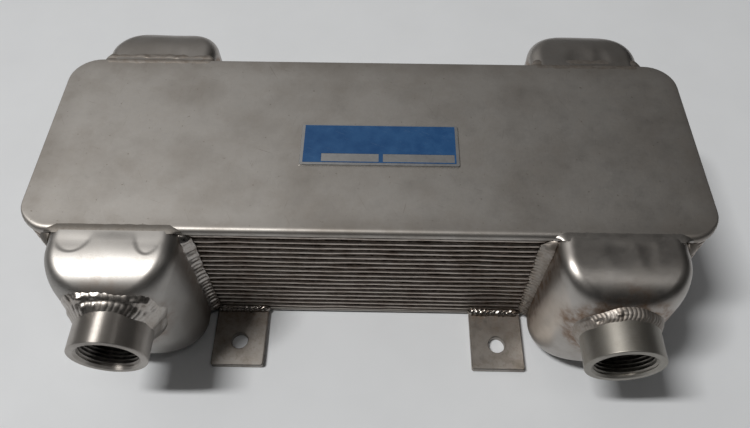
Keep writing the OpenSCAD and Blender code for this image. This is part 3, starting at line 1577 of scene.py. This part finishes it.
    def _down_a_side(self, side: int, look: WeldLook) -> WeldPath:
        """Follow the corner between the header's side and the core's face.

        Args:
            side: -1 for the header's left side and +1 for its right side.
            look: How the bead was laid.

        Returns:
            Path of the bead, with ripples that grow downwards.
        """
        levels = np.linspace(self.height - look.drop, self.weld_foot, self.side_points)
        radius = self.crease_radius
        over = np.maximum(levels - (self.height - radius), 0)
        across = self.half_width - self.curl * (radius - np.sqrt(radius**2 - over**2))
        root = np.column_stack([side * across, 0 * levels, levels])
        size = np.linspace(1, 1 - look.taper, self.side_points)[:, None]
        first = root + size * np.array([0, look.legs[0], 0])
        wide = look.legs[1] * size
        falls = 0 * wide
        if side == self.corner.side:
            falls = self.core_corner - np.sqrt(self.core_corner**2 - wide**2)
        second = root + np.column_stack([side * wide, -falls, 0 * wide])
        crown = np.tile(unit(np.array([side, 1.0, 0.0])), (self.side_points, 1))
        vigour = np.linspace(*self.side_vigour, self.side_points)
        return WeldPath(root, (first, second), crown, vigour, blunt=look.blunt)

    def _round_the_pipe(self, look: WeldLook) -> WeldPath:
        """Follow the saddle where the coupling meets the header's curved front.

        Args:
            look: How the bead was laid.

        Returns:
            Closed path of the bead, liveliest on top.
        """
        angles = np.linspace(0, 2 * math.pi, self.pipe_points, endpoint=False)
        sideways, upright = np.abs(np.cos(angles)), np.abs(np.sin(angles))
        above = smooth_step(np.sin(angles), *self.flare_zone)
        wide = self.pipe_radius + (1 + look.flare * above) * look.legs[0]
        tall = self.pipe_radius + look.legs[0]
        power = 2 + (look.squareness - 2) * above
        toe = ((sideways / wide) ** power + (upright / tall) ** power) ** (-1 / power)
        out = look.legs[1] * (1 + look.flare / 2 * above * sideways**2)
        root = self.ring(self.pipe_radius, angles)
        first = self.ring(toe, angles)
        first = first - self.toe_drop * self.facing(first)
        second = root + np.column_stack([0 * out, out, 0 * out])
        radial = np.column_stack([np.cos(angles), np.zeros(len(angles)), np.sin(angles)])
        lively = smooth_step(np.sin(angles), *self.lively_zone)
        vigour = self.pipe_vigour + (1 - self.pipe_vigour) * lively
        return WeldPath(root, (first, second), unit(radial + self.facing(root)), vigour, closed=True)


@dataclass
class Coupling:
    """Pipe coupling turned from bar, with a pipe thread inside.

    Attributes:
        corner: Corner of the core where it stands.
        finish: Finish of its metal.
        bore_radius: Radius of its bore at the thread's crests.
        mouth_bevel: Width of the bevel inside its mouth.
        rim_bevel: Radius of the soft edge round its rim.
        bevel_steps: Number of points round that edge.
        rim_rows: Rows outside, at these distances before the rim, in rim bevels.
        face_ends: Ends of the flat ring face, in rim bevels inwards and mouth bevels outwards.
        face_rings: Number of rows on that face.
        thread_pitch: Length of one turn of the thread.
        thread_depth: Depth of the thread.
        thread_flat: Share of a flank that is flat at the crest, and at the root.
        shade_zone: Distances into the mouth between which the painted shade of the bore comes in.
        unshaded_crests: Distances into the mouth between which the crests spared that painted shade end.
        crest_share: How much of the painted shade the crests near the mouth are spared.
        crest_zone: Shares of the thread's depth between which a crest ends.
        columns: Number of points round the axis.
        rows_per_pitch: Number of rows for each turn of the thread.
    """

    corner: Corner
    finish: MetalFinish
    bore_radius: float = 12.7 * MM
    mouth_bevel: float = 1.4 * MM
    rim_bevel: float = 0.5 * MM
    bevel_steps: int = 4
    rim_rows: tuple[float, float] = (2.0, 1.1)
    face_ends: tuple[float, float] = (1.4, 1.05)
    face_rings: int = 4
    thread_pitch: float = 1.814 * MM
    thread_depth: float = 0.95 * MM
    thread_flat: float = 0.12
    shade_zone: tuple[float, float] = (1.0 * MM, 5.0 * MM)
    unshaded_crests: tuple[float, float] = (5.0 * MM, 13.0 * MM)
    crest_share: float = 0.85
    crest_zone: tuple[float, float] = (0.15, 0.7)
    columns: int = 120
    rows_per_pitch: int = 9

    @property
    def node(self) -> str:
        """Give the name of the coupling's solid."""
        return f"coupling_{self.corner.value}"

    def build(self) -> Mesh:
        """Turn the ring's section round its axis, with a true helix for the thread.

        Returns:
            Closed mesh marked with painted shade where it lies inside the bore.
        """
        low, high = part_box(self.node)
        radius, length = (high.z - low.z) / 2, high.y - low.y
        angles = np.linspace(0, 2 * math.pi, self.columns, endpoint=False)
        bevel = self.rim_bevel
        outside = [(radius, reach) for reach in (0, length / 2, *(length - r * bevel for r in self.rim_rows))]
        for turn in np.linspace(0, math.pi / 2, self.bevel_steps):
            outside.append((radius - bevel * (1 - math.cos(turn)), length - bevel * (1 - math.sin(turn))))
        outer_end = radius - self.face_ends[0] * bevel
        inner_end = self.bore_radius + self.face_ends[1] * self.mouth_bevel
        outside += [(ring, length) for ring in np.linspace(outer_end, inner_end, self.face_rings)]
        steps = round(length / self.thread_pitch * self.rows_per_pitch)
        levels = np.linspace(length, 0, steps)
        turns = levels[:, None] / self.thread_pitch - angles / (2 * math.pi)
        flank = np.abs(2 * (turns % 1) - 1)
        tooth = np.clip((flank - self.thread_flat) / (1 - 2 * self.thread_flat), 0, 1)
        mouth = self.bore_radius + self.mouth_bevel - (length - levels)
        inside = np.maximum(self.bore_radius + self.thread_depth * tooth, mouth[:, None])
        inside[-1] = self.bore_radius
        rings, reaches = np.array(outside).T
        radii = np.concatenate([np.repeat(rings[:, None], self.columns, axis=1), inside])
        reach = np.concatenate([reaches, levels])[:, None] + 0 * radii
        root = min(abs(low.y), abs(high.y))
        rows = np.stack(
            [
                (low.x + high.x) / 2 + radii * np.cos(angles),
                self.corner.face * (root + reach),
                (low.z + high.z) / 2 + radii * np.sin(angles),
            ],
            axis=-1,
        )
        mesh = loft(self.node, rows, closed=True, sharp=35.0)
        # Painted shade: the bore darkens deeper into the mouth, and the thread crests near the mouth are
        # partly spared it
        inward = length - reach
        crest = 1 - smooth_step((radii - self.bore_radius) / self.thread_depth, *self.crest_zone)
        bare = self.crest_share * crest * (1 - smooth_step(inward, *self.unshaded_crests))
        within = radii < self.bore_radius + self.mouth_bevel
        mark(mesh, "inside", within * smooth_step(inward, *self.shade_zone) * (1 - bare))
        return mesh

    def dress(self, mesh: Mesh) -> bpy.types.Object:
        """Place the coupling with its finish."""
        return place_piece(f"{self.node}_ring", mesh, self.finish, (self.node,))


@dataclass
class Foot:
    """Flat foot with one bolt hole, welded to the core's lower edge.

    Attributes:
        corner: Corner of the core where it stands.
        hole_radius: Radius of its bolt hole.
        hole_out: Distance of the hole from the core's face.
        corner_radius: Radius of its outer corners.
        edge: Bevel of its edges.
        rings: Places of the rings between the hole and the edge, from 0 to 1.
        heat: Strength of the heat tint at its root.
        heat_reach: How far that tint runs out.
        weld_over: How far its weld runs past each side.
        weld_points: Number of places along its weld.
        step: Distance between points along the outline.
    """

    corner: Corner
    hole_radius: float = 4.15 * MM
    hole_out: float = 18.0 * MM
    corner_radius: float = 1.2 * MM
    edge: float = 0.35 * MM
    rings: tuple[float, ...] = (0.06, 0.35, 0.7, 0.95)
    heat: float = 0.8
    heat_reach: float = 5.0 * MM
    weld_over: float = 0.8 * MM
    weld_points: int = 30
    step: float = 0.8 * MM

    @property
    def node(self) -> str:
        """Give the name of the foot's solid."""
        return f"foot_{self.corner.value}"

    def build(self) -> Mesh:
        """Skin the plate from its bolt hole out to its edge and back underneath.

        Returns:
            Closed mesh marked where the weld tinted it.
        """
        low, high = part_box(self.node)
        size, middle = high - low, (low + high) / 2
        root = min(abs(low.y), abs(high.y))
        line, normals = rounded_outline(size.x, size.y, self.corner_radius, self.step)
        line = line + np.array([middle.x, middle.y])
        centre = np.array([middle.x, self.corner.face * (root + self.hole_out)])
        ways = unit(line - centre)
        hole = centre + self.hole_radius * ways
        rows = [(hole, low.z), (hole, high.z - self.edge), (hole + self.edge * ways, high.z)]
        inset = line - self.edge * normals
        for share in self.rings:
            rows.append((hole + share * (inset - hole), high.z))
        rows += [(inset, high.z), (line, high.z - self.edge), (line, low.z + self.edge), (inset, low.z)]
        points = np.array([np.column_stack([ring, np.full(len(ring), level)]) for ring, level in rows])
        mesh = loft(self.node, points, closed=True)
        out = np.abs(points[..., 1]) - root
        mark(mesh, "scorch", self.heat * np.exp(-out / self.heat_reach))
        return mesh

    def dress(self, mesh: Mesh) -> bpy.types.Object:
        """Place the foot with its finish."""
        return place_piece(f"{self.node}_plate", mesh, FOOT_STEEL, (self.node,))

    def weld(self) -> WeldBead:
        """Lay out the bead along the foot's root.

        Returns:
            Bead that runs a little past both sides of the foot.
        """
        low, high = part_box(self.node)
        plane = self.corner.face * min(abs(low.y), abs(high.y))
        count = self.weld_points
        places = np.linspace(low.x - self.weld_over, high.x + self.weld_over, count)
        root = np.column_stack([places, np.full(count, plane), np.full(count, high.z)])
        up, out = FOOT_WELD.legs
        toes = (root + np.array([0, 0, up]), root + np.array([0, self.corner.face * out, 0]))
        crown = np.tile(unit(np.array([0.0, self.corner.face, 1.0])), (count, 1))
        return WeldBead(f"weld_{self.node}", WeldPath(root, toes, crown, np.ones(count)), "foot", FOOT_WELD)


@dataclass
class Nameplate:
    """Blank plate on the top cover, with a printed field and two bare boxes.

    Attributes:
        node: Name of the plate's solid.
        corner_radius: Radius of its corners.
        edge: Bevel of its upper edge.
        flat_ring: Width of the ring inside that edge.
        step: Distance between points along the outline.
        film: Thickness of the printed film.
        film_sunk: How deep the film lies in the plate, as a share of its thickness.
        margin_x: Bare margin at the left and right.
        margin_front: Bare margin at the front.
        margin_back: Bare margin at the back.
        left_box: Ends of the left box, from the film's left end.
        right_box: Ends of the right box, from the film's left end.
        box_front: Distance of the boxes from the film's front.
        box_depth: Depth of the boxes.
    """

    node: str = "nameplate"
    corner_radius: float = 1.0 * MM
    edge: float = 0.2 * MM
    flat_ring: float = 0.8 * MM
    step: float = 2.0 * MM
    film: float = 0.08 * MM
    film_sunk: float = 0.2
    margin_x: float = 1.6 * MM
    margin_front: float = 1.5 * MM
    margin_back: float = 0.8 * MM
    left_box: tuple[float, float] = (8.5 * MM, 35.0 * MM)
    right_box: tuple[float, float] = (37.0 * MM, 70.0 * MM)
    box_front: float = 0.6 * MM
    box_depth: float = 4.6 * MM

    def build(self) -> Mesh:
        """Loft the bare plate with a soft edge.

        Returns:
            Closed mesh of the plate.
        """
        low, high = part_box(self.node)
        size, middle = high - low, (low + high) / 2
        top = high.z - self.film
        line, normals = rounded_outline(size.x, size.y, self.corner_radius, self.step)
        rows = []
        for inset, level in ((0, low.z), (0, top - self.edge), (-self.edge, top), (-self.flat_ring, top)):
            ring = line + inset * normals + np.array([middle.x, middle.y])
            rows.append(np.column_stack([ring, np.full(len(ring), level)]))
        return loft(self.node, np.array(rows), closed=False)

    def build_field(self) -> Mesh:
        """Lay the printed film on the plate, leaving the boxes open.

        Returns:
            Closed mesh of the film.
        """
        low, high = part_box(self.node)
        start = np.array([low.x + self.margin_x, low.y + self.margin_front])
        size = np.array([high.x - self.margin_x, high.y - self.margin_back]) - start
        columns = [0, *self.left_box, *self.right_box, size[0]]
        rows = [0, self.box_front, self.box_front + self.box_depth, size[1]]
        # Row and column of each box
        boxes = {(1, 1), (1, 3)}
        thick = (1 + self.film_sunk) * self.film
        level = high.z - thick
        work = bmesh.new()
        points = [[work.verts.new((start[0] + x, start[1] + y, level)) for x in columns] for y in rows]
        faces = []
        for row, (below, above) in enumerate(zip(points, points[1:])):
            for column in range(len(columns) - 1):
                if (row, column) not in boxes:
                    around = (below[column], below[column + 1], above[column + 1], above[column])
                    faces.append(work.faces.new(around))
        raised = bmesh.ops.extrude_face_region(work, geom=faces, use_keep_orig=True)
        lifted = [item for item in raised["geom"] if isinstance(item, bmesh.types.BMVert)]
        bmesh.ops.translate(work, verts=lifted, vec=(0, 0, thick))
        mesh = bpy.data.meshes.new("nameplate_field")
        work.to_mesh(mesh)
        work.free()
        return outward(mesh, sharp=30.0)

    def dress(self, mesh: Mesh) -> bpy.types.Object:
        """Place the plate and the film on it.

        Args:
            mesh: Mesh of the bare plate.

        Returns:
            The bare plate.
        """
        piece = place_piece("nameplate_blank", mesh, PLATE_SILVER, (self.node,))
        place_piece("nameplate_field", self.build_field(), PLATE_BLUE)
        return piece


# Stage


@dataclass(frozen=True)
class Glow:
    """Soft bright area of the room.

    Attributes:
        turn: Angle of its middle from the back towards the right, in degrees.
        rise: Angle of its middle above the floor, in degrees.
        strength: Brightness of its middle.
        tightness: How quickly it falls off.
    """

    turn: float
    rise: float
    strength: float
    tightness: float = 12.0

    @property
    def way(self) -> Vector:
        """Give the direction of the middle of the glow."""
        turn, rise = math.radians(self.turn), math.radians(self.rise)
        return Vector((math.sin(turn) * math.cos(rise), math.cos(turn) * math.cos(rise), math.sin(rise)))


@dataclass(frozen=True)
class Lamp:
    """Rectangular soft light that points at the middle of the floor.

    Attributes:
        name: Name of the light.
        way: Direction in which it hangs.
        distance: How far away it hangs.
        width: Its size along the core.
        length: Its other size.
        power: Its power in watts.
        colour: Colour of its light.
    """

    name: str
    way: tuple[float, float, float]
    distance: float
    width: float
    length: float
    power: float
    colour: Colour


@dataclass
class Stage:
    """Floor, wall, lights and camera.

    Attributes:
        floor_half: Half the floor's size.
        floor_drop: How far the floor lies below the part.
        wall_reach: Radius of the round wall.
        wall_bend: Radius of the bend at its foot.
        wall_height: Height of the wall.
        wall_steps: Number of points round the wall.
        wall_rows: Number of points up its bend.
        camera_place: Where the camera stands.
        camera_pitch: Angle of its view below the level, in degrees.
        camera_yaw: Angle of its view to the right, in degrees.
        camera_roll: Angle of its lean, in degrees.
        lens: Focal length in millimetres.
        sensor: Width of its sensor in millimetres.
        clip: Least and greatest distance that it sees.
        glow_colour: Colour of the room's light.
        glows: Bright areas of the room.
        lamps: Soft lights over the part.
    """

    floor_half: float = 15.0
    floor_drop: float = 0.1 * MM
    wall_reach: float = 3.0
    wall_bend: float = 1.2
    wall_height: float = 2.2
    wall_steps: int = 96
    wall_rows: int = 24
    camera_place: tuple[float, float, float] = (5.53 * MM, -200.90 * MM, 317.37 * MM)
    camera_pitch: float = 56.356
    camera_yaw: float = -0.906
    camera_roll: float = 0.138
    lens: float = 31.703
    sensor: float = 36.0
    clip: tuple[float, float] = (0.01, 50.0)
    glow_colour: Colour = (1.0, 0.985, 0.965)
    glows: tuple[Glow, ...] = (
        Glow(0, 20, 0.15),
        Glow(315, 20, 0.25),
        Glow(350, 46, 0.125),
        Glow(318, 47, 0.21),
        Glow(90, 45, 0.06),
        Glow(225, 45, 0.08),
        Glow(240, 68, 0.10),
        Glow(300, 68, 0.22),
    )
    lamps: tuple[Lamp, ...] = (
        Lamp("key_light", (-0.439, -0.088, 0.894), 3.8, 1.10, 0.30, 86.0, (1.0, 0.99, 0.97)),
        Lamp("fill_light", (0.36, -0.17, 0.92), 2.2, 0.36, 0.27, 1.15, (1.0, 0.99, 0.97)),
    )

    def build(self) -> None:
        """Set out the floor, wall, lights and camera."""
        bpy.context.scene.view_settings.view_transform = "Standard"
        self._lay_floor()
        self._raise_wall()
        self._light_room()
        for lamp in self.lamps:
            self._hang(lamp)
        self._aim_camera()

    def _lay_floor(self) -> None:
        """Lay the pale floor under the part."""
        half, level = self.floor_half, -self.floor_drop
        corners = [(-half, -half, level), (half, -half, level), (half, half, level), (-half, half, level)]
        self._set_out("floor", corners, [(0, 1, 2, 3)])

    def _raise_wall(self) -> None:
        """Raise a pale round wall from the floor, which neither lights nor shades the part."""
        turn = np.linspace(0, math.pi / 2, self.wall_rows)
        start = self.wall_reach - self.wall_bend
        reach = np.append(start + self.wall_bend * np.sin(turn), self.wall_reach)
        rise = np.append(self.wall_bend * (1 - np.cos(turn)), self.wall_height)
        angles = np.linspace(0, 2 * math.pi, self.wall_steps, endpoint=False)[:, None]
        rings = np.stack([reach * np.cos(angles), reach * np.sin(angles), rise + 0 * angles], axis=-1)
        index = np.arange(rings.shape[0] * rings.shape[1]).reshape(rings.shape[:2])
        onward = np.roll(index, -1, axis=0)
        quads = np.stack([index[:, :-1], onward[:, :-1], onward[:, 1:], index[:, 1:]], axis=-1)
        wall = self._set_out("wall", rings.reshape(-1, 3).tolist(), quads.reshape(-1, 4).tolist())
        wall.visible_diffuse = wall.visible_glossy = wall.visible_shadow = False

    def _set_out(
        self, name: str, points: Sequence[Sequence[float]], faces: Sequence[Sequence[int]]
    ) -> bpy.types.Object:
        """Put a pale surface on the stage.

        Args:
            name: Name of the surface.
            points: Its points.
            faces: Numbers of the points of each face.

        Returns:
            The new surface.
        """
        mesh = bpy.data.meshes.new(name)
        mesh.from_pydata(points, [], faces)
        mesh.shade_smooth()
        mesh.materials.append(PALE_FLOOR.material())
        surface = bpy.data.objects.new(name, mesh)
        bpy.context.scene.collection.objects.link(surface)
        return surface

    def _light_room(self) -> None:
        """Fill the world with the soft glows of a dark room."""
        world = bpy.data.worlds.new("room")
        world.use_nodes = True
        bpy.context.scene.world = world
        kit = Wiring(world.node_tree)
        way = kit.add("ShaderNodeTexCoord", {}).outputs["Generated"]
        total: object = 0.0
        for glow in self.glows:
            facing = kit.add("ShaderNodeVectorMath", {0: way, 1: tuple(glow.way)}, operation="DOT_PRODUCT")
            fall = kit.math("MULTIPLY", kit.math("SUBTRACT", facing.outputs["Value"], 1.0), glow.tightness)
            total = kit.math("ADD", total, kit.math("MULTIPLY", kit.math("EXPONENT", fall), glow.strength))
        sky = kit.add("ShaderNodeBackground", {"Color": opaque(self.glow_colour), "Strength": total})
        kit.add("ShaderNodeOutputWorld", {"Surface": sky.outputs[0]})

    def _hang(self, lamp: Lamp) -> None:
        """Hang one soft light and point it at the part.

        Args:
            lamp: The light to hang.
        """
        light = bpy.data.lights.new(lamp.name, "AREA")
        light.shape = "RECTANGLE"
        light.size, light.size_y = lamp.width, lamp.length
        light.energy = lamp.power
        light.color = lamp.colour
        way = Vector(lamp.way).normalized()
        hung = bpy.data.objects.new(lamp.name, light)
        across = (Vector((1, 0, 0)) - way.x * way).normalized()
        turn = Matrix((across, way.cross(across), way)).transposed().to_4x4()
        hung.matrix_world = Matrix.Translation(way * lamp.distance) @ turn
        bpy.context.scene.collection.objects.link(hung)

    def _aim_camera(self) -> None:
        """Stand the camera where the photograph was taken from."""
        pitch, yaw, roll = (math.radians(a) for a in (self.camera_pitch, self.camera_yaw, self.camera_roll))
        ahead = Vector((math.sin(yaw) * math.cos(pitch), math.cos(yaw) * math.cos(pitch), -math.sin(pitch)))
        level = Vector((math.cos(yaw), -math.sin(yaw), 0))
        upright = level.cross(ahead)
        right = math.cos(roll) * level + math.sin(roll) * upright
        up = math.cos(roll) * upright - math.sin(roll) * level
        data = bpy.data.cameras.new("camera")
        data.lens, data.sensor_width = self.lens, self.sensor
        data.clip_start, data.clip_end = self.clip
        camera = bpy.data.objects.new("camera", data)
        turn = Matrix((right, up, -ahead)).transposed().to_4x4()
        camera.matrix_world = Matrix.Translation(self.camera_place) @ turn
        bpy.context.scene.collection.objects.link(camera)
        bpy.context.scene.camera = camera


def main() -> None:
    """Build every sub-assembly in order and report each piece."""
    logging.basicConfig(level=logging.INFO, format="%(name)s: %(message)s")
    cells = sorted(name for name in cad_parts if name.startswith("cell_"))
    parts: list[SubAssembly] = [CoverPlate("bottom_cover", False), *(PlateCell(name) for name in cells)]
    parts.append(CoverPlate("top_cover", True))
    for corner in Corner:
        look = LOOKS[corner]
        header, foot = Header(corner, look), Foot(corner)
        parts += [header, *header.welds(), Coupling(corner, look.pipe), foot, foot.weld()]
    parts.append(Nameplate())
    for part in parts:
        part.dress(part.build())
    Stage().build()


if __name__ == "__main__":
    main()
